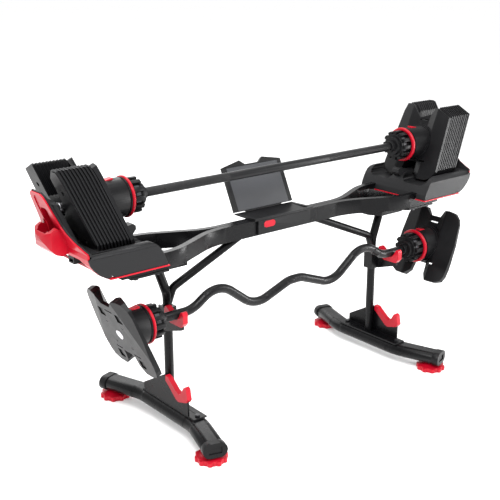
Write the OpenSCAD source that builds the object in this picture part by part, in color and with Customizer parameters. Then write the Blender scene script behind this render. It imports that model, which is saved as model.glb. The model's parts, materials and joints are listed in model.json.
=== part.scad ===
// Selector barbell set: a straight bar with two plate stacks standing in two trays, and a wavy
// curl bar with two end plates hanging in hooks, on a free standing rack with a tablet shelf.
// X runs along the bars, -Y is the front, +Z is up. The floor is z = 0.
// The origin lies on the floor in the middle of the rack, under the straight bar.

/* [Bars] */
// distance between the coloured rings of one bar
ring_span = 1050; // [950:5:1150]
// height of the straight bar's axis
bar_h = 679; // [672:1:690]
// height of the curl bar's axis
curl_h = 353; // [350:1:356]
// how far the curl bar's axis lies in front of the middle
curl_front = 72; // [70:1:74]
// diameter of the straight bar's grip
grip_d = 25; // [20:0.5:32]
// diameter of the curl bar's tube
curl_d = 26; // [22:0.5:26]
// height of the curl bar's outer crests above its axis
curl_crest = 57; // [40:1:60]
// depth of the curl bar's dips below its axis
curl_dip = 42; // [25:1:45]

/* [Hubs and plates] */
// outer diameter of the coloured ring
ring_d = 108.6; // [104:0.2:112]
// outer diameter of the hub housing
hub_d = 102; // [96:1:106]
// from the ring's middle to the first plate on the straight bar, along the axis
hub_len = 67; // [60:1:80]
// from the ring's middle to the end plate on the curl bar, along the axis
curl_hub_len = 49; // [46:1:60]
// angle of the plates from upright
lean = 23.5; // [15:0.5:27]
// thickness of the straight bar's inmost plate
first_t = 18; // [12:1:24]
// thickness of the curl bar's end plate
end_t = 27; // [16:1:30]
// thickness of one loose plate
plate_t = 8; // [6:0.1:9]
// gap between two plates
plate_gap = 0.6; // [0.4:0.1:1]
// loose plates that the dial holds at each end
lifted_n = 5; // [1:1:5]
// loose plates left in each tray
parked_n = 5; // [1:1:5]
// half width of the curl bar's end plate at its widest
plate_half = 112; // [104:1:114]
// lugs round one dial
dial_lugs = 12; // [8:1:14]

/* [Rack] */
// from the middle to each post
post_x = 403; // [395:1:410]
// diameter of the posts
post_d = 26; // [22:1:30]
// from the middle to each levelling foot, sideways
foot_x = 440; // [436:1:444]
// from the middle to each levelling foot, front to back
foot_y = 239; // [225:1:250]
// radius of a levelling pad
pad_r = 45; // [36:1:50]
// height of the rails' underside
rail_z = 496; // [494:1:497]
// height of a rail's flat tube
rail_h = 45; // [30:1:45]
// thickness of a rail's flat tube
rail_t = 19; // [12:1:20]
// half of the tray's depth, front to back
tray_half = 138; // [134:1:142]

/* [Tablet shelf] */
// half width of the shelf's back panel
panel_half = 112; // [90:1:130]
// angle of the back panel from upright
panel_lean = 26; // [15:1:35]
// height of the back panel's ears
ear_z = 684; // [640:1:690]

/* [View] */
// the piece to show

/* [Hidden] */
$fn = 96;

black = [0.07, 0.07, 0.08];
red = [0.80, 0.04, 0.09];
grey = [0.38, 0.38, 0.40];
silver = [0.75, 0.75, 0.77];

ring_x = ring_span / 2;
first_x = ring_x + hub_len;
pitch_x = (plate_t + plate_gap) / cos(lean);
lifted_x = first_x + (first_t + plate_gap) / cos(lean);
parked_x = lifted_x + lifted_n * pitch_x;
stack_x = parked_x + parked_n * pitch_x;
core_r = 9;
sleeve_r = 15;
slot_r = 18.5;
lug_r = 47;
dial_in = 62;

// ---------- helpers ----------

// a right hand piece as it is (1) or mirrored to the left (-1)
module sided(s) {
    if (s < 0)
        mirror([1, 0, 0]) children();
    else
        children();
}

// a leaned plane: x is front to back, y is up the slope, z is outward
module leaned(x0, z0, a) {
    translate([x0, 0, z0])
        rotate([0, a, 0])
            rotate([90, 0, 90])
                children();
}

// a side view drawn as (y, z), from x = a to x = b
module along_x(a, b) {
    translate([a, 0, 0])
        rotate([90, 0, 90])
            linear_extrude(height = b - a)
                children();
}

// a front view drawn as (x, z), from y = a to y = b
module along_y(a, b) {
    translate([0, b, 0])
        rotate([90, 0, 0])
            linear_extrude(height = b - a)
                children();
}

module rod_x(r, a, b) {
    translate([a, 0, 0])
        rotate([0, 90, 0])
            cylinder(r = r, h = b - a);
}

module ring_x_of(ro, ri, a, b) {
    difference() {
        rod_x(ro, a, b);
        rod_x(ri, a - 1, b + 1);
    }
}

// a bent bar in one plane through the points p, with bend radii r; its section is the first
// child, and the second is the slightly fuller section of the joints between its stretches
function unit2(v) = v / norm(v);
function turn(p, i) = let (a = unit2(p[i] - p[i - 1]), b = unit2(p[i + 1] - p[i]))
    atan2(a[0] * b[1] - a[1] * b[0], a[0] * b[0] + a[1] * b[1]);
function back_off(p, r, i) =
    (i == 0 || i == len(p) - 1) ? 0 : r[i] * tan(abs(turn(p, i)) / 2);

module bent(p, r) {
    n = len(p);
    for (i = [0 : n - 2]) {
        d = unit2(p[i + 1] - p[i]);
        a = p[i] + d * back_off(p, r, i);
        b = p[i + 1] - d * back_off(p, r, i + 1);
        translate([a[0], a[1], 0])
            rotate([0, 0, atan2(d[1], d[0])])
                rotate([90, 0, 90])
                    linear_extrude(height = norm(b - a))
                        children(0);
        if (i > 0)
            joint_at(a, d) children(1);
        if (i < n - 2)
            joint_at(b, d) children(1);
    }
    for (i = [1 : n - 2]) {
        t = turn(p, i);
        d = unit2(p[i] - p[i - 1]);
        a = p[i] - d * back_off(p, r, i);
        side = t > 0 ? 1 : -1;
        c = a + r[i] * side * [-d[1], d[0]];
        translate([c[0], c[1], 0])
            rotate([0, 0, atan2(a[1] - c[1], a[0] - c[0]) + (t > 0 ? 0 : t)])
                rotate_extrude(angle = abs(t))
                    translate([r[i], 0])
                        children(0);
    }
}

module joint_at(p, d) {
    translate([p[0], p[1], 0])
        rotate([0, 0, atan2(d[1], d[0])])
            rotate([90, 0, 90])
                translate([0, 0, -0.5])
                    linear_extrude(height = 1)
                        children();
}

module pipe(d, wall, g = 0) {
    difference() {
        circle(d = d + g);
        circle(d = d - 2 * wall - g);
    }
}

module stadium(w, h) {
    square([w - h, h], center = true);
    translate([(w - h) / 2, 0])
        circle(d = h);
    translate([(h - w) / 2, 0])
        circle(d = h);
}

// ---------- base ----------

leg_w = 64;
leg_h = 38;
leg_z = 42;
leg_top = leg_z + leg_h / 2;
leg_end = [448, 265];
leg_bend_y = 130;
leg_turn = atan2(leg_end[0] - post_x - 1, leg_end[1] - leg_bend_y);

module leg_section(g) {
    difference() {
        stadium(leg_w + g, leg_h + g);
        stadium(leg_w - 6 - g, leg_h - 6 - g);
    }
}

module leg() {
    difference() {
        translate([0, 0, leg_z])
            bent([[leg_end[0], -leg_end[1]], [post_x + 1, -leg_bend_y],
                [post_x + 1, leg_bend_y], leg_end], [0, 180, 180, 0]) {
                leg_section(0);
                leg_section(0.2);
            }
        for (f = [-1, 1])
            translate([foot_x, f * foot_y, 0])
                cylinder(r = 5.6, h = leg_z);
    }
}

module leg_cap() {
    translate([leg_end[0], leg_end[1], leg_z])
        rotate([0, 0, -leg_turn])
            rotate([-90, 0, 0])
                difference() {
                    translate([0, 0, -14])
                        linear_extrude(height = 22)
                            stadium(leg_w + 4, leg_h + 4);
                    translate([0, 0, -15])
                        linear_extrude(height = 15.2)
                            stadium(leg_w + 0.4, leg_h + 0.4);
                    translate([-18, -9, 5])
                        cube([36, 18, 5]);
                }
}

module leg_caps() {
    for (s = [-1, 1])
        sided(s) {
            leg_cap();
            mirror([0, 1, 0]) leg_cap();
        }
}

module foot(s, f) {
    translate([s * foot_x, f * foot_y, 0])
        rotate([0, 0, 12]) {
            rotate_extrude()
                polygon([[0, 2], [pad_r - 14, 2], [pad_r - 14, 0], [pad_r - 5, 0],
                    [pad_r - 5, 14], [pad_r - 12, 15], [16, 21], [5, 21], [5, leg_z],
                    [0, leg_z]]);
            for (i = [0 : 9])
                rotate([0, 0, i * 36])
                    translate([pad_r - 8, 0, 0])
                        cylinder(r = 8, h = 12.5);
        }
}

plate_in = post_x + post_d / 2 + 1;
plate_out = plate_in + 5;

module bracket_side(g) {
    polygon([[-111 - g, leg_top + 0.3], [106 + g, leg_top + 0.3], [105 + g, 90 + g],
        [2, 150 + g], [-27, 142 + g], [-73, 104 + g], [-111 - g, 114 + g]]);
}

module foot_bracket() {
    along_x(plate_in, plate_out)
        bracket_side(0);
    difference() {
        translate([post_x - 24, -140, leg_top + 0.3])
            cube([plate_out - post_x + 24, 254, 5]);
        translate([post_x, 0, leg_top - 5])
            cylinder(d = post_d + 0.6, h = 20);
        for (y = [-126, 98])
            translate([post_x - 2, y, leg_top - 5])
                cylinder(r = 4.6, h = 20);
    }
}

module lower_hook() {
    difference() {
        along_x(plate_in - 5, plate_out + 5)
            polygon([[-14, 155], [-27, 153], [-62, 126], [-77, 120], [-86, 125], [-98, 146],
                [-104, 151], [-112, 147], [-118, 116], [-111, 107], [-73, 96], [-62, 100],
                [-22, 133], [-14, 138]]);
        along_x(plate_in - 0.3, plate_out + 0.3)
            bracket_side(0.3);
    }
}

// ---------- posts and braces ----------

module post_run() {
    rotate([90, 0, 0])
        bent([[post_x, leg_top + 0.3], [post_x, 384], [441, 493]], [0, 90, 0]) {
            children(0);
            children(1);
        }
}

module post() {
    difference() {
        post_run() {
            pipe(post_d, 2.5);
            pipe(post_d, 2.5, 0.2);
        }
        translate([400, -50, rail_z - 17.8])
            cube([100, 100, 60]);
    }
}

module brace() {
    difference() {
        rotate([90, 0, 0])
            bent([[399, 362], [384, 400], [150, 500]], [0, 25, 0]) {
                pipe(23, 2);
                pipe(23, 2, 0.2);
            }
        post_run() {
            circle(d = post_d + 0.4);
            circle(d = post_d + 0.6);
        }
        translate([100, -50, rail_z - 0.3])
            cube([120, 100, 60]);
    }
}

// ---------- rails and tray brackets ----------

module rail_section(g) {
    difference() {
        square([rail_t + g, rail_h + g], center = true);
        square([rail_t - 5 - g, rail_h - 5 - g], center = true);
    }
}

module rail() {
    translate([0, 0, rail_z + rail_h / 2])
        bent([[-600, 88.5], [-425, 88.5], [-262, rail_t / 2 + 0.2], [262, rail_t / 2 + 0.2],
            [425, 88.5], [600, 88.5]], [0, 180, 220, 220, 180, 0]) {
            rail_section(0);
            rail_section(0.05);
        }
}

module tray_bracket() {
    difference() {
        translate([0, 0, rail_z - 6])
            linear_extrude(height = 5.7)
                polygon([[429, -60], [460, -100], [575, -100], [575, 100], [460, 100],
                    [429, 60]]);
        for (x = [490, 555], y = [-88.5, 88.5])
            translate([x, y, rail_z - 20])
                cylinder(r = 4.4, h = 40);
    }
    translate([0, 0, rail_z - 17.5])
        linear_extrude(height = 11.6)
            polygon([[352, -26], [376, -62], [470, -62], [470, 62], [376, 62], [352, 26]]);
}

// ---------- trays ----------

tray_z = 524;
deck_z = 592;
well_z = 563.8;
parked_z = 568;
wall_lean = 22.5;
wall_foot = [712, 592];
wall_t = 4;
liner_t = 18;
round_r = 14;

module tray_outline() {
    polygon([[488, tray_z], [492, 540], [498, 553], [506, 568], [516, 580], [526, 587],
        [538, deck_z], [700, deck_z], [702.6, 589.5], [702.6, 581.5], [699.6, 570],
        [690.5, 556], [675.8, 542.4], [661.5, 533.8], [646, 527.5], [640, tray_z]]);
}

// the end skin's outer line, then its inner line back
module skin_outline() {
    polygon([[712, 591.5], [712.5, 580], [707.5, 565], [697, 550], [681, 535], [666, 526],
        [654, 521], [645, 521], [645, 523.7], [652.1, 525.6], [663.8, 530.4], [678, 538.9],
        [693.2, 553.2], [703, 567.2], [707, 581], [707, 591.5]]);
}

module tray_section() {
    translate([-tray_half, tray_z - 4])
        square([2 * tray_half, deck_z - tray_z + 4 - round_r]);
    translate([round_r - tray_half, tray_z - 4])
        square([2 * tray_half - 2 * round_r, deck_z - tray_z + 24]);
    for (s = [-1, 1])
        translate([s * (tray_half - round_r), deck_z - round_r])
            circle(r = round_r);
}

// a wall leaned like the plates, its outer face depth behind the red wall's outer face
module end_wall(depth, t) {
    leaned(wall_foot[0] - (depth + t) / cos(wall_lean), wall_foot[1], wall_lean)
        linear_extrude(height = t)
            children();
}

module tongue(g) {
    polygon([[-136 - g, -3], [136 + g, -3], [136 + g, 3], [118 + g, 10], [88 + g, 24],
        [64 + g, 42], [53 + g, 62], [46 + g, 95], [40 + g, 128], [34 + g, 142],
        [24, 150 + g], [-24, 150 + g], [-34 - g, 142], [-40 - g, 128], [-46 - g, 95],
        [-53 - g, 62], [-64 - g, 42], [-88 - g, 24], [-118 - g, 10], [-136 - g, 3]]);
}

// the channel down the outer face of the tongue, up to the height top
module channel(g, top) {
    polygon([[-23 - g, 30], [23 + g, 30], [23 + g, top - 36], [19 + g, top - 8],
        [11 + g, top + g], [-11 - g, top + g], [-19 - g, top - 8], [-23 - g, top - 36]]);
}

// one well for the plates' lobes, with round corners at its floor, from x = a to x = b
module well(a, b, floor_z) {
    along_x(a, b)
        for (s = [-1, 1])
            mirror([s < 0 ? 1 : 0, 0]) {
                translate([44, floor_z])
                    square([56, 80]);
                translate([20, floor_z + 22])
                    square([101, 80]);
                translate([44, floor_z + 24])
                    circle(r = 24);
                translate([97, floor_z + 24])
                    circle(r = 24);
            }
}

// the opening under the outer end, drawn as (front to back, up)
module end_arch() {
    polygon([[-120, 500], [-118, 548], [-108, 563], [-90, 571], [90, 571], [108, 563],
        [118, 548], [120, 500]]);
}

module tray() {
    difference() {
        union() {
            intersection() {
                along_y(-tray_half, tray_half)
                    tray_outline();
                along_x(480, 720)
                    tray_section();
            }
            // black face behind the whole red wall, and cheeks beside its skin
            end_wall(wall_t + 0.4, 4)
                tongue(2);
            for (a = [-138, 135.3])
                along_y(a, a + 2.7)
                    polygon([[650, 528], [658, 524.6], [666, 526.6], [681, 535.6],
                        [697, 550.6], [707.5, 565.6], [712, 580], [704, 584], [690, 570],
                        [660, 540]]);
            // liner standing behind the red wall
            end_wall(wall_t + 0.4, liner_t)
                polygon([[-60, -14], [60, -14], [58, 10], [50, 60], [43, 116], [34, 126],
                    [-34, 126], [-43, 116], [-50, 60], [-58, 10]]);
            // ridge between the two wells
            along_y(-13, 13)
                polygon([[516, 572], [500, 590], [500, 600], [508, 606], [524, 604],
                    [560, deck_z - 1], [560, 572]]);
        }
        // the outer end stands on its two corners
        along_x(638, 715)
            end_arch();
        // wells for the two lobes of the plates, open to the inner end
        difference() {
            union() {
                well(470, 614, well_z);
                well(613, 690, parked_z);
            }
            // the outer end of the wells leans like the plates
            along_y(-tray_half, tray_half)
                polygon([[662.6, 560], [676.5, deck_z + 0.1], [900, deck_z + 0.1],
                    [900, 560]]);
        }
        // hollow liner
        end_wall(-20, 20 + wall_t + 0.4 + liner_t - 3.5)
            polygon([[-52, -3], [52, -3], [45, 60], [38, 112], [30, 120], [-30, 120],
                [-38, 112], [-45, 60]]);
        // hollow underside
        along_y(-tray_half + 5, tray_half - 5)
            polygon([[494, tray_z - 1], [500, 548], [512, 558], [664, 558], [681, 584],
                [698, 584], [695, 571], [686, 559], [672, 547], [656, 538], [640, 531],
                [634, tray_z - 1]]);
        // rails
        for (y = [-100, 76])
            translate([480, y, tray_z - 5])
                cube([130, 24, 22.5]);
    }
    // stop block under the outer end
    difference() {
        translate([660, -14, 534])
            cube([24, 28, 42]);
        translate([659, -9, 538])
            cube([26, 18, 8]);
    }
}

module tray_base() {
    difference() {
        union() {
            // pan inside the tray
            translate([510, -131, rail_z + rail_h + 1])
                cube([146, 262, 4]);
            // skirts with the lip that shows below the tray
            for (s = [-1, 1])
                mirror([0, s < 0 ? 1 : 0, 0]) {
                    translate([510, 127, tray_z - 3])
                        cube([118, 4, rail_z + rail_h + 6 - tray_z]);
                    translate([485, 127, tray_z - 3])
                        cube([172, 14, 2.7]);
                }
            translate([485, -140, tray_z - 3])
                cube([7, 280, 2.7]);
            translate([485, -70, tray_z - 3])
                cube([29, 140, 2.7]);
            translate([502, -70, tray_z - 3])
                cube([12, 140, rail_z + rail_h + 6 - tray_z]);
            // skin round the shell's outer end
            difference() {
                along_y(-135, 135)
                    skin_outline();
                along_x(656, 715)
                    end_arch();
            }
            end_wall(0, wall_t)
                tongue(-2);
            end_wall(3, 14)
                channel(3.5, 108);
            // handle low on the tongue
            intersection() {
                along_y(-42, 42)
                    polygon([[708, 577], [728, 571], [744, 577], [757, 590], [766, 608],
                        [769, 620], [762, 630], [741, 644], [729, 636], [711.5, 594]]);
                translate([696, 0, 560])
                    cylinder(r = 72, h = 100);
            }
        }
        end_wall(-30, 43)
            channel(0, 108);
        end_wall(-30, 32.2)
            channel(0, 139);
        // bowl of the handle
        intersection() {
            along_y(-31, 31)
                polygon([[717, 600], [731, 588], [747, 593], [758, 608], [761, 618],
                    [790, 640], [760, 680], [730, 645]]);
            translate([696, 0, 560])
                cylinder(r = 64, h = 140);
        }
        for (y = [-100, 76])
            translate([480, y, tray_z - 5])
                cube([130, 24, 22.5]);
    }
}

// ---------- upper hooks ----------

module arm_side(g) {
    polygon([[17, 287], [17, 354 + g], [-22, 354 + g], [-34, 338 + g], [-50, 330 + g],
        [-96 - g, 332 + g], [-96 - g, 314], [-90, 311], [-19, 287]]);
}

module hook_bracket() {
    difference() {
        union() {
            along_x(plate_in - 1, plate_out)
                arm_side(0);
            translate([post_x - 18, -18, 288])
                cube([plate_in - post_x + 18, 35, 64]);
        }
        translate([post_x, 0, 282])
            cylinder(d = post_d + 0.4, h = 90);
    }
}

module hook_insert() {
    difference() {
        along_x(plate_in - 6, plate_out + 5)
            polygon([[-107, 335], [-108, 358], [-105, 365], [-101, 367], [-97, 366],
                [-89.4, 354], [-86, 348], [-58, 348], [-46, 354], [-32, 364], [-25, 364],
                [-20, 356], [-20, 344], [-34, 328], [-48, 322], [-96, 323]]);
        along_x(plate_in - 1.3, plate_out + 0.3)
            arm_side(0.3);
        translate([0, -curl_front, curl_h])
            rod_x(13.6, 380, 450);
    }
}

// ---------- tablet shelf ----------

shelf_front = -26;
shelf_back = 70;
shelf_top = rail_z + rail_h + 3.3;
panel_z0 = shelf_top + 0.3;
badge_x = -58;
badge_z = rail_z + 31;
panel_len = (ear_z - panel_z0) / cos(panel_lean);

module shelf_trough() {
    difference() {
        translate([-100, shelf_front, rail_z + 4])
            cube([200, 6.6, rail_h + 3]);
        // seat of the badge
        translate([badge_x, shelf_front - 1, badge_z])
            rotate([90, 0, 0])
                translate([0, 0, -3])
                    linear_extrude(height = 10)
                        badge_shape(0.3);
        // line round the apron's field
        translate([-93, shelf_front - 1, rail_z + 44])
            cube([186, 2, 1.2]);
    }
    translate([-100, shelf_front, rail_z + rail_h + 0.3])
        cube([200, shelf_back - shelf_front, 3]);
    for (x = [-112, 100])
        along_x(x, x + 12)
            polygon([[shelf_front, rail_z + rail_h + 0.3], [shelf_back, rail_z + rail_h + 0.3],
                [shelf_back, shelf_top], [shelf_front, shelf_top + 4]]);
}

module badge_shape(g) {
    stadium(42 + 2 * g, 19 + 2 * g);
}

module panel_frame() {
    translate([0, shelf_back - 6, panel_z0])
        rotate([-panel_lean, 0, 0])
            children();
}

module shelf_panel() {
    panel_frame()
        translate([14.3 - panel_half, 0, 6])
            cube([2 * panel_half - 28.6, 3.7, panel_len - 24]);
}

module shelf_frame() {
    panel_frame()
        difference() {
            along_y(0, 10)
                polygon([[-panel_half, 5], [panel_half, 5], [panel_half, panel_len - 14],
                    [44, panel_len], [26, panel_len - 14], [-26, panel_len - 14],
                    [-44, panel_len], [-panel_half, panel_len - 14]]);
            along_y(-1, 4)
                polygon([[14 - panel_half, 4], [panel_half - 14, 4],
                    [panel_half - 14, panel_len - 17.6], [14 - panel_half, panel_len - 17.6]]);
            along_y(5, 12)
                polygon([[30 - panel_half, 24], [panel_half - 30, 24],
                    [panel_half - 40, panel_len - 34], [40 - panel_half, panel_len - 34]]);
        }
    // foot of the panel on the shelf's floor
    difference() {
        translate([-70, shelf_back - 18, panel_z0])
            cube([140, 24, 10]);
        panel_frame()
            translate([-80, -60, -30])
                cube([160, 64, 80]);
    }
}

module badge() {
    translate([badge_x, shelf_front + 1.7, badge_z])
        rotate([90, 0, 0])
            linear_extrude(height = 2.4)
                badge_shape(0);
}

// ---------- fasteners of the rack ----------

module bolt(h, r) {
    cylinder(r = r * 1.8, h = 5, $fn = 6);
    translate([0, 0, -h])
        cylinder(r = r, h = h + 1);
}

module rack_bolts() {
    for (s = [-1, 1])
        sided(s) {
            for (y = [-126, 98])
                translate([post_x - 2, y, leg_top + 5.3])
                    bolt(4.9, 4.2);
            for (x = [490, 555], y = [-88.5, 88.5])
                translate([x, y, rail_z - 6])
                    mirror([0, 0, 1])
                        bolt(5.6, 4);
        }
}

// ---------- hubs ----------

// every hub piece is drawn on the axis with x = 0 in the ring's middle
module housing(len) {
    difference() {
        union() {
            rod_x(ring_d / 2 - 9, -5, 6);
            difference() {
                rod_x(hub_d / 2, 4, len + 60);
                leaned(len, 0, lean)
                    translate([-150, -150, -0.3])
                        cube([300, 300, 200]);
            }
            leaned(len, 0, lean)
                translate([0, 0, -4.3])
                    cylinder(r = hub_d / 2 + 6, h = 4);
        }
        rod_x(sleeve_r + 0.4, -20, len + 90);
        ring_x_of(hub_d / 2 + 1, hub_d / 2 - 2, 8, 11);
        // seat of the release button
        translate([len - 33, -9.4, hub_d / 2 - 14])
            cube([24.8, 18.8, 30]);
    }
}

module hub_ring() {
    rotate([0, 90, 0])
        rotate_extrude()
            polygon([[ring_d / 2 - 8.8, -5], [ring_d / 2 - 3, -5], [ring_d / 2, -2.5],
                [ring_d / 2, 2.5], [ring_d / 2 - 2.5, 3.8], [ring_d / 2 - 8.8, 3.8]]);
}

module dial(sleeve_end) {
    difference() {
        union() {
            rod_x(17, -dial_in, -49);
            rod_x(29, -51, -40);
            rod_x(37, -41, -7);
            for (i = [0 : dial_lugs - 1])
                rotate([i * 360 / dial_lugs, 0, 0])
                    intersection() {
                        translate([-37, -6, 30])
                            cube([29, 12, 30]);
                        rod_x(lug_r, -60, 0);
                    }
            rod_x(sleeve_r, -8, sleeve_end);
        }
        rod_x(core_r + 0.3, -80, sleeve_end + 10);
        for (i = [0 : dial_lugs - 1])
            rotate([(i + 0.5) * 360 / dial_lugs, 0, 0])
                translate([-33, -5, 35.8])
                    cube([18, 10, 10]);
    }
}

module release(len) {
    difference() {
        translate([len - 32.6, -9, hub_d / 2 - 9])
            cube([24, 18, 13]);
        translate([len - 34, -20, hub_d / 2 + 4.4])
            rotate([0, 10, 0])
                cube([60, 40, 10]);
    }
}

// ---------- plates ----------

function low_half(w) = [[w - 12, -106], [78, -116], [46, -117], [28, -97], [23, -62]];

// the curl bar's end plate is the same on both sides
function end_half() = concat([[20, 98], [38, 120], [60, 123], [80, 120], [98, 104], [106, 86],
    [plate_half, 20], [plate_half - 1, -60], [plate_half - 4, -88]], low_half(plate_half));

// a plate of the straight bar has a cut back lobe and a full one
function cut_lobe() = concat([[20, 98], [38, 121], [44, 121], [96, 98], [109, -82]],
    low_half(109));
function full_lobe() = concat([[20, 84], [56, 122], [64, 125], [84, 124], [92, 98],
    [109, -82]], low_half(109));

function flipped(p) = [for (i = [len(p) - 1 : -1 : 0]) [-p[i][0], p[i][1]]];

module end_plate_shape() {
    polygon(concat(end_half(), flipped(end_half())));
}

module plate_shape() {
    polygon(concat(full_lobe(), flipped(cut_lobe())));
}

// a profile drawn as (front to back, outward), cut along the whole plate
module down_plate() {
    rotate([90, 0, 0])
        linear_extrude(height = 500, center = true)
            children();
}

// a thick plate with two wings that stand inward, facets on its outer face and slots
module end_plate(t, facets) {
    difference() {
        linear_extrude(height = t)
            children();
        for (s = [0, 1])
            mirror([s, 0, 0]) {
                // the wing's inner face falls away to the plate's edge
                down_plate()
                    polygon([[54, -1], [54, 0], [plate_half + 6, t * 0.52],
                        [plate_half + 40, t * 0.52], [plate_half + 40, -1]]);
                // facet of the outer face
                if (facets)
                    translate([36, 115, t])
                        rotate([0, 0, 24.6])
                            rotate([0, 9.2, 0])
                                translate([0, -400, 0])
                                    cube([200, 600, 40]);
                translate([50 - 11, -96, t - 3])
                    cube([22, 26, 10]);
                translate([28, -60, -1])
                    cube([30, 4, t + 2]);
            }
        // recess between the wings, round the hub's seat
        difference() {
            down_plate()
                polygon([[-48, -1], [-48, 0], [-20, t - 10], [20, t - 10], [48, 0],
                    [48, -1]]);
            translate([0, 0, -2])
                cylinder(r = 61, h = t + 4);
        }
        // slot and panels above the hub
        translate([-17, 76, -1])
            cube([34, 4, t + 2]);
        for (x = [-52, 28])
            translate([x, 52, t - 3])
                cube([24, 26, 10]);
        for (x = [-36, 36], y = [-34, 34])
            translate([x, y, -1])
                cylinder(r = 3.2, h = t + 2);
    }
}

// loose plates are full size only at their rims, so that grooves show between them
module loose_plates(x0, n) {
    for (i = [0 : n - 1])
        leaned(x0 + i * pitch_x, 0, lean)
            difference() {
                union() {
                    linear_extrude(height = plate_t)
                        scale([0.965, 0.965])
                            plate_shape();
                    translate([0, 0, plate_t * 0.2])
                        linear_extrude(height = plate_t * 0.6)
                            plate_shape();
                }
                // open channel that the bar drops into
                translate([0, 0, -1])
                    linear_extrude(height = plate_t + 2) {
                        polygon([[-slot_r, 0], [slot_r, 0], [slot_r, 8], [34, 30], [38, 200],
                            [-38, 200], [-34, 30], [-slot_r, 8]]);
                        circle(r = slot_r);
                    }
                for (x = [-62, 62], y = [-80, 60])
                    translate([x, y, -1])
                        cylinder(r = 6, h = plate_t + 2);
            }
}

// the left end's plates are the right end's, turned round
module turned(s) {
    rotate([0, 0, s < 0 ? 180 : 0])
        translate([0, 0, bar_h])
            children();
}

// ---------- bars ----------

module at_bar(s) {
    sided(s)
        translate([ring_x, 0, bar_h])
            children();
}

module at_curl(s) {
    sided(s)
        translate([ring_x, -curl_front, curl_h])
            children();
}

// the bore through a hub's end plate follows the bar, not the plate's lean
module hub_plate(len, t, bore) {
    difference() {
        leaned(len, 0, lean)
            end_plate(t, false)
                plate_shape();
        rod_x(bore, len - 40, len + 60);
    }
}

module straight_bar() {
    translate([0, 0, bar_h]) {
        rod_x(core_r, -stack_x - 6, stack_x + 6);
        for (s = [-1, 1])
            sided(s)
                rod_x(core_r + 5, first_x + 1, stack_x + 2);
    }
}

module straight_grip() {
    translate([0, 0, bar_h])
        difference() {
            rod_x(grip_d / 2, -(ring_x - dial_in - 1), ring_x - dial_in - 1);
            rod_x(core_r + 0.1, -600, 600);
        }
}

module straight_end_bolts() {
    for (s = [-1, 1])
        sided(s)
            translate([0, 0, bar_h])
                ring_x_of(core_r + 6, core_r + 0.1, stack_x + 2.2, stack_x + 5);
}

module curl_bar() {
    bend_x = [24, 152, 283, 372];
    translate([0, -curl_front, curl_h]) {
        rotate([90, 0, 0])
            bent([[-(ring_x - dial_in - 1), 0], [-bend_x[3], 0], [-bend_x[2], curl_crest],
                [-bend_x[1], -curl_dip], [-bend_x[0], 5], [bend_x[0], 5],
                [bend_x[1], -curl_dip], [bend_x[2], curl_crest], [bend_x[3], 0],
                [ring_x - dial_in - 1, 0]],
                [0, 90, 80, 85, 75, 75, 85, 80, 90, 0]) {
                circle(d = curl_d);
                circle(d = curl_d + 0.2);
            }
        for (s = [-1, 1])
            sided(s)
                rod_x(core_r, ring_x - dial_in - 1, ring_x + curl_hub_len + 15);
    }
}

module curl_end_plates() {
    for (s = [-1, 1])
        at_curl(s)
            difference() {
                leaned(curl_hub_len, 0, lean)
                    end_plate(end_t, true)
                        end_plate_shape();
                rod_x(core_r + 0.4, curl_hub_len - 30, curl_hub_len + 20);
                leaned(curl_hub_len, 0, lean)
                    translate([0, 0, end_t - 8.2])
                        cylinder(r = 14.4, h = 20);
            }
}

module curl_end_bolts() {
    for (s = [-1, 1])
        at_curl(s)
            leaned(curl_hub_len, 0, lean) {
                for (x = [-36, 36], y = [-34, 34])
                    translate([x, y, end_t - 6])
                        cylinder(r = 3.1, h = 5);
                translate([0, 0, end_t - 8])
                    cylinder(r = 14, h = 9);
            }
}

// ---------- the pieces ----------

color(black) sided(-1) leg();  // left_leg
color(black) sided(1) leg();  // right_leg
color(black) leg_caps();
color(red) foot(-1, -1);  // foot_left_front
color(red) foot(-1, 1);  // foot_left_back
color(red) foot(1, -1);  // foot_right_front
color(red) foot(1, 1);  // foot_right_back
color(black) sided(-1) foot_bracket();  // left_foot_bracket
color(black) sided(1) foot_bracket();  // right_foot_bracket
color(red) sided(-1) lower_hook();  // left_lower_hook
color(red) sided(1) lower_hook();  // right_lower_hook
color(black) sided(-1) post();  // left_post
color(black) sided(1) post();  // right_post
color(black) sided(-1) brace();  // left_brace
color(black) sided(1) brace();  // right_brace
color(black) mirror([0, 1, 0]) rail();  // front_rail
color(black) rail();  // back_rail
color(black) sided(-1) tray_bracket();  // left_tray_bracket
color(black) sided(1) tray_bracket();  // right_tray_bracket
color(black) sided(-1) tray();  // left_tray
color(black) sided(1) tray();  // right_tray
color(red) sided(-1) tray_base();  // left_tray_base
color(red) sided(1) tray_base();  // right_tray_base
color(black) sided(-1) hook_bracket();  // left_hook_bracket
color(black) sided(1) hook_bracket();  // right_hook_bracket
color(red) sided(-1) hook_insert();  // left_hook_insert
color(red) sided(1) hook_insert();  // right_hook_insert
color(black) shelf_trough();
color(grey) shelf_panel();
color(black) shelf_frame();
color(red) badge();
color(black) rack_bolts();
color(black)  // left_parked_plates
    turned(-1) loose_plates(parked_x, parked_n);
color(black)  // right_parked_plates
    turned(1) loose_plates(parked_x, parked_n);
color(black) straight_bar();
color(black) straight_grip();
color(silver) straight_end_bolts();
color(black) at_bar(-1) housing(hub_len);  // straight_left_housing
color(black) at_bar(1) housing(hub_len);  // straight_right_housing
color(red) at_bar(-1) hub_ring();  // straight_left_ring
color(red) at_bar(1) hub_ring();  // straight_right_ring
color(black) at_bar(-1) dial(hub_len - 8);  // straight_left_dial
color(black) at_bar(1) dial(hub_len - 8);  // straight_right_dial
color(red) at_bar(-1) release(hub_len);  // straight_left_release
color(red) at_bar(1) release(hub_len);  // straight_right_release
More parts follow.
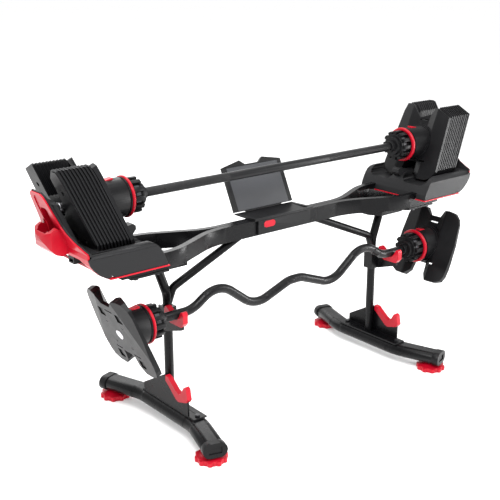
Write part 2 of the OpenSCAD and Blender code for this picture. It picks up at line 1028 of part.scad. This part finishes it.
color(black)  // straight_left_end_plate
    turned(-1) translate([ring_x, 0, 0]) hub_plate(hub_len, first_t, 17);
color(black)  // straight_right_end_plate
    turned(1) translate([ring_x, 0, 0]) hub_plate(hub_len, first_t, 17);
color(black)  // left_lifted_plates
    turned(-1) loose_plates(lifted_x, lifted_n);
color(black)  // right_lifted_plates
    turned(1) loose_plates(lifted_x, lifted_n);
color(black) curl_bar();
color(black) at_curl(-1) housing(curl_hub_len);  // curl_left_housing
color(black) at_curl(1) housing(curl_hub_len);  // curl_right_housing
color(red) at_curl(-1) hub_ring();  // curl_left_ring
color(red) at_curl(1) hub_ring();  // curl_right_ring
color(black) at_curl(-1) dial(curl_hub_len - 8);  // curl_left_dial
color(black) at_curl(1) dial(curl_hub_len - 8);  // curl_right_dial
color(red) at_curl(-1) release(curl_hub_len);  // curl_left_release
color(red) at_curl(1) release(curl_hub_len);  // curl_right_release
color(black) curl_end_plates();
color(silver) curl_end_bolts();
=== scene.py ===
import bmesh, bpy, json, math
from mathutils import Matrix, Vector


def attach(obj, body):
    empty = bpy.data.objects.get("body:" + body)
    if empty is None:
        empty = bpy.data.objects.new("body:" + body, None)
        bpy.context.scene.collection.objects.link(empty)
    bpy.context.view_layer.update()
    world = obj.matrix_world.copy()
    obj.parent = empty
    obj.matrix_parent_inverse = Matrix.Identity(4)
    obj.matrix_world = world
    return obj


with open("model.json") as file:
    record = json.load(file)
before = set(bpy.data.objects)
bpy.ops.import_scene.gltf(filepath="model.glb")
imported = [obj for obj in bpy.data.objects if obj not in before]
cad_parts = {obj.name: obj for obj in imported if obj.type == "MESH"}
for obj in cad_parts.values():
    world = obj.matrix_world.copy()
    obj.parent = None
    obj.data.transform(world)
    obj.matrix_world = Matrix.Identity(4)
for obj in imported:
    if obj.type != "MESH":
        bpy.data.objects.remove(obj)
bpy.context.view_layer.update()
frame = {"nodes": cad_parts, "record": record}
NODES = frame["nodes"]
SLOT = {s["node"]: s["material_slot"] for s in frame["record"]["subparts"]}


# ---------- materials ----------

def new_material(name, base, rough, metallic=0.0, coat=0.0, specular=0.5):
    mat = bpy.data.materials.new(name)
    mat.use_nodes = True
    tree = mat.node_tree
    shader = tree.nodes["Principled BSDF"]
    shader.inputs["Base Color"].default_value = (*base, 1)
    shader.inputs["Roughness"].default_value = rough
    shader.inputs["Metallic"].default_value = metallic
    shader.inputs["Coat Weight"].default_value = coat
    shader.inputs["Specular IOR Level"].default_value = specular
    return mat, tree, shader


def link(tree, a, out, b, inp):
    tree.links.new(a.outputs[out], b.inputs[inp])


def noise(tree, scale, detail=4.0, stretch=(1, 1, 1)):
    coord = tree.nodes.new("ShaderNodeTexCoord")
    mapping = tree.nodes.new("ShaderNodeMapping")
    mapping.inputs["Scale"].default_value = stretch
    tex = tree.nodes.new("ShaderNodeTexNoise")
    tex.inputs["Scale"].default_value = scale
    tex.inputs["Detail"].default_value = detail
    link(tree, coord, "Object", mapping, "Vector")
    link(tree, mapping, "Vector", tex, "Vector")
    return tex


def ramp(tree, low, high, at=(0.3, 0.7)):
    node = tree.nodes.new("ShaderNodeValToRGB")
    for stop, colour, place in zip(node.color_ramp.elements, (low, high), at):
        stop.position = place
        stop.color = (*colour, 1)
    return node


def surface(name, base, rough, grain=900.0, depth=0.12, spread=0.10, wear=0.35,
            metallic=0.0, coat=0.0, specular=0.5, stretch=(1, 1, 1)):
    """A painted or moulded surface: a fine grain in its bump, blotchy roughness and
    colour, and paler worn edges."""
    mat, tree, shader = new_material(name, base, rough, metallic, coat, specular)
    soft = noise(tree, 9.0, 5.0)
    pale = tuple(min(1, c * (1 + wear) + 0.012 * wear) for c in base)
    dark = tuple(c * 0.82 for c in base)
    colour = ramp(tree, dark, pale)
    link(tree, soft, "Fac", colour, "Fac")
    edges = tree.nodes.new("ShaderNodeNewGeometry")
    edge_ramp = ramp(tree, (0, 0, 0), (1, 1, 1), (0.53, 0.62))
    link(tree, edges, "Pointiness", edge_ramp, "Fac")
    mix = tree.nodes.new("ShaderNodeMix")
    mix.data_type = "RGBA"
    link(tree, edge_ramp, "Color", mix, "Factor")
    link(tree, colour, "Color", mix, "A")
    mix.inputs["B"].default_value = (*[min(1, c * 1.7 + 0.01) for c in base], 1)
    link(tree, mix, "Result", shader, "Base Color")
    rough_range = tree.nodes.new("ShaderNodeMapRange")
    rough_range.inputs["To Min"].default_value = max(0.05, rough - spread)
    rough_range.inputs["To Max"].default_value = min(1, rough + spread)
    blotch = noise(tree, 34.0, 6.0)
    link(tree, blotch, "Fac", rough_range, "Value")
    link(tree, rough_range, "Result", shader, "Roughness")
    fine = noise(tree, grain, 3.0, stretch)
    bump = tree.nodes.new("ShaderNodeBump")
    bump.inputs["Strength"].default_value = depth
    bump.inputs["Distance"].default_value = 0.0004
    link(tree, fine, "Fac", bump, "Height")
    link(tree, bump, "Normal", shader, "Normal")
    return mat


DEEP_BLACK = (0.0025, 0.0025, 0.003)
GRIP_BLACK = (0.003, 0.003, 0.0035)
MATS = {
    "black_paint": surface("black_paint", DEEP_BLACK, rough=0.28, grain=1400, depth=0.10,
                           spread=0.07, wear=0.07, specular=0.14),
    "black_plastic": surface("black_plastic", DEEP_BLACK, rough=0.36, grain=1100, depth=0.20,
                             spread=0.08, specular=0.14),
    "plate_cover": surface("plate_cover", (0.002, 0.002, 0.0025), rough=0.34, grain=1000,
                           depth=0.22, spread=0.08, specular=0.12),
    "grey_plastic": surface("grey_plastic", (0.020, 0.021, 0.024), rough=0.42, grain=1000,
                            depth=0.22, spread=0.08, specular=0.3),
    "red_plastic": surface("red_plastic", (0.38, 0.002, 0.013), rough=0.30, grain=900,
                           depth=0.08, spread=0.06, wear=0.10, specular=0.22),
    "dark_steel": surface("dark_steel", (0.012, 0.012, 0.014), rough=0.35, grain=1500,
                          metallic=0.4),
    "grip_steel": surface("grip_steel", GRIP_BLACK, rough=0.28, grain=1600, spread=0.08,
                          specular=0.18),
    "bright_steel": surface("bright_steel", (0.55, 0.55, 0.57), rough=0.3, grain=700,
                            depth=0.15, metallic=1.0, stretch=(1, 8, 8)),
}
KNURL = surface("grip_knurl", GRIP_BLACK, rough=0.30, grain=1600, spread=0.06, specular=0.18)


def cut_grip(mat, rings, ring_width, knurl_start):
    """Turned rings round the bar at these distances from its middle, and a knurl from
    knurl_start out to the bar's ends."""
    tree = mat.node_tree
    shader = tree.nodes["Principled BSDF"]
    bump = tree.nodes["Bump"]
    coord = tree.nodes.new("ShaderNodeTexCoord")
    axes = tree.nodes.new("ShaderNodeSeparateXYZ")
    link(tree, coord, "Object", axes, "Vector")
    along = tree.nodes.new("ShaderNodeMath")
    along.operation = "ABSOLUTE"
    tree.links.new(axes.outputs["X"], along.inputs[0])
    bands = tree.nodes.new("ShaderNodeValToRGB")
    bands.color_ramp.interpolation = "CONSTANT"
    bands.color_ramp.elements.remove(bands.color_ramp.elements[1])
    bands.color_ramp.elements[0].color = (1, 1, 1, 1)
    for r in rings:
        bands.color_ramp.elements.new(r - ring_width / 2).color = (0, 0, 0, 1)
        bands.color_ramp.elements.new(r + ring_width / 2).color = (1, 1, 1, 1)
    tree.links.new(along.outputs[0], bands.inputs["Fac"])
    hatch = tree.nodes.new("ShaderNodeTexVoronoi")
    hatch.inputs["Scale"].default_value = 620
    link(tree, coord, "Object", hatch, "Vector")
    zone = tree.nodes.new("ShaderNodeMapRange")
    zone.inputs["From Min"].default_value = knurl_start - 0.0005
    zone.inputs["From Max"].default_value = knurl_start + 0.0005
    tree.links.new(along.outputs[0], zone.inputs["Value"])
    mix = tree.nodes.new("ShaderNodeMath")
    mix.operation = "MULTIPLY"
    link(tree, hatch, "Distance", mix, 0)
    link(tree, zone, "Result", mix, 1)
    total = tree.nodes.new("ShaderNodeMath")
    total.operation = "ADD"
    link(tree, mix, "Value", total, 0)
    link(tree, bands, "Color", total, 1)
    tree.links.new(total.outputs[0], bump.inputs["Height"])
    bump.inputs["Strength"].default_value = 0.7
    bump.inputs["Distance"].default_value = 0.0009


cut_grip(KNURL, rings=(0.055, 0.19, 0.40), ring_width=0.003, knurl_start=0.19)


def dress(obj, slot):
    obj.data.materials.clear()
    obj.data.materials.append(MATS[slot])


def soften(obj, width, merge):
    weld = obj.modifiers.new("weld", "WELD")
    weld.merge_threshold = merge
    bevel = obj.modifiers.new("bevel", "BEVEL")
    bevel.width = width
    bevel.segments = 2
    bevel.limit_method = "ANGLE"
    bevel.angle_limit = math.radians(35)
    bevel.use_clamp_overlap = True
    bevel.harden_normals = True


EDGE_ROUND = 0.0008
MERGE = 0.00002
BENT = ("leg", "post", "brace", "rail", "curl_bar")
MERGE_BENT = 0.00015     # the stretches of a bent tube meet in collars a little fuller than it

for name, obj in NODES.items():
    dress(obj, SLOT[name])
    soften(obj, EDGE_ROUND, MERGE_BENT if name.endswith(BENT) else MERGE)
NODES["straight_grip"].data.materials[0] = KNURL


# ---------- small pieces that the CAD leaves out ----------

def block(bm, place, size, spin=0.0):
    """A box of that size at place, turned by spin radians about the dial's axis."""
    made = bmesh.ops.create_cube(bm, size=1)
    for v in made["verts"]:
        v.co = Vector((v.co.x * size[0], v.co.y * size[1], v.co.z * size[2])) + Vector(place)
    bmesh.ops.rotate(bm, verts=made["verts"], cent=(0, 0, 0),
                     matrix=Matrix.Rotation(spin, 3, "X"))


def piece(name, bm, mat, body, place=(0, 0, 0)):
    mesh = bpy.data.meshes.new(name)
    bm.to_mesh(mesh)
    bm.free()
    obj = bpy.data.objects.new(name, mesh)
    obj.location = place
    bpy.context.scene.collection.objects.link(obj)
    mesh.materials.append(mat)
    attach(obj, body)
    return obj


RING_X = 0.525
AXES = {"straight": (0.0, 0.679), "curl": (-0.072, 0.353)}     # front to back, height
LUGS = 12
WINDOW_IN = 0.024       # from the ring's middle toward the bar's middle
WINDOW_R = 0.0363
WINDOW = (0.013, 0.0075, 0.0008)

for bar, (y, z) in AXES.items():
    for side, sign in (("left", -1), ("right", 1)):
        bm = bmesh.new()
        for i in range(LUGS):
            # the pale window between two lugs
            block(bm, (-sign * WINDOW_IN, 0, WINDOW_R), WINDOW, (i + 0.5) * math.tau / LUGS)
        piece(f"{bar}_{side}_dial_windows", bm, MATS["grey_plastic"], f"{bar}_{side}_dial_body",
              (sign * RING_X, y, z))


# ---------- stage ----------

def area(name, place, target, size, power):
    data = bpy.data.lights.new(name, "AREA")
    data.shape = "RECTANGLE"
    data.size, data.size_y = size
    data.energy = power
    lamp = bpy.data.objects.new(name, data)
    lamp.location = place
    lamp.rotation_euler = (Vector(target) - Vector(place)).to_track_quat("-Z", "Y").to_euler()
    bpy.context.scene.collection.objects.link(lamp)


# name, place, what it points at, size, power
area("key", (-1.6, -1.6, 3.2), (0, 0, 0.5), (2.4, 2.0), 80)
area("fill", (2.8, -2.2, 1.8), (0, 0, 0.5), (1.6, 2.0), 45)
area("top", (0, 0.6, 3.4), (0, 0, 0.5), (3.0, 2.0), 60)
area("back", (0.5, 3.0, 2.0), (0, 0, 0.6), (3.0, 1.5), 35)
area("right_strip", (2.45, -1.55, 0.30), (0.65, -0.1, 0.68), (0.35, 1.3), 45)
area("top_strip", (-0.9, -1.7, 2.7), (0, 0, 0.6), (2.2, 0.16), 45)

world = bpy.data.worlds.new("studio")
world.use_nodes = True
world.node_tree.nodes["Background"].inputs["Color"].default_value = (1, 1, 1, 1)
world.node_tree.nodes["Background"].inputs["Strength"].default_value = 1.03
bpy.context.scene.world = world
bpy.context.scene.view_settings.view_transform = "Standard"

FLOOR = 30
corners = [(-FLOOR, -FLOOR, 0), (FLOOR, -FLOOR, 0), (FLOOR, FLOOR, 0), (-FLOOR, FLOOR, 0)]
floor_mesh = bpy.data.meshes.new("floor")
floor_mesh.from_pydata(corners, [], [(0, 1, 2, 3)])
floor = bpy.data.objects.new("floor", floor_mesh)
bpy.context.scene.collection.objects.link(floor)
floor_mat, _, floor_shader = new_material("floor", (0.97, 0.97, 0.97), 0.8)
floor_mesh.materials.append(floor_mat)


# ---------- camera at the picture's angle ----------

CAM_PLACE = Vector((-1.6996, -1.9403, 1.2516))
CAM_AZ, CAM_EL, CAM_ROLL = (math.radians(a) for a in (-39.0938, 17.9136, -0.2653))
FOCAL_PX, PICTURE_PX, SENSOR_MM = 910.89, 500, 36
SHIFT = (0.0067, 0.0066)

back = Vector((math.sin(CAM_AZ) * math.cos(CAM_EL), -math.cos(CAM_AZ) * math.cos(CAM_EL),
               math.sin(CAM_EL)))
right = (-back).cross(Vector((0, 0, 1))).normalized()
up = right.cross(-back)
tilt_right = right * math.cos(CAM_ROLL) + up * math.sin(CAM_ROLL)
tilt_up = up * math.cos(CAM_ROLL) - right * math.sin(CAM_ROLL)
cam_data = bpy.data.cameras.new("camera")
cam_data.sensor_width = SENSOR_MM
cam_data.lens = FOCAL_PX / PICTURE_PX * SENSOR_MM
cam_data.shift_x, cam_data.shift_y = SHIFT
cam = bpy.data.objects.new("camera", cam_data)
turn = Matrix((tilt_right, tilt_up, back)).transposed().to_4x4()
cam.matrix_world = Matrix.Translation(CAM_PLACE) @ turn
bpy.context.scene.collection.objects.link(cam)
bpy.context.scene.camera = cam
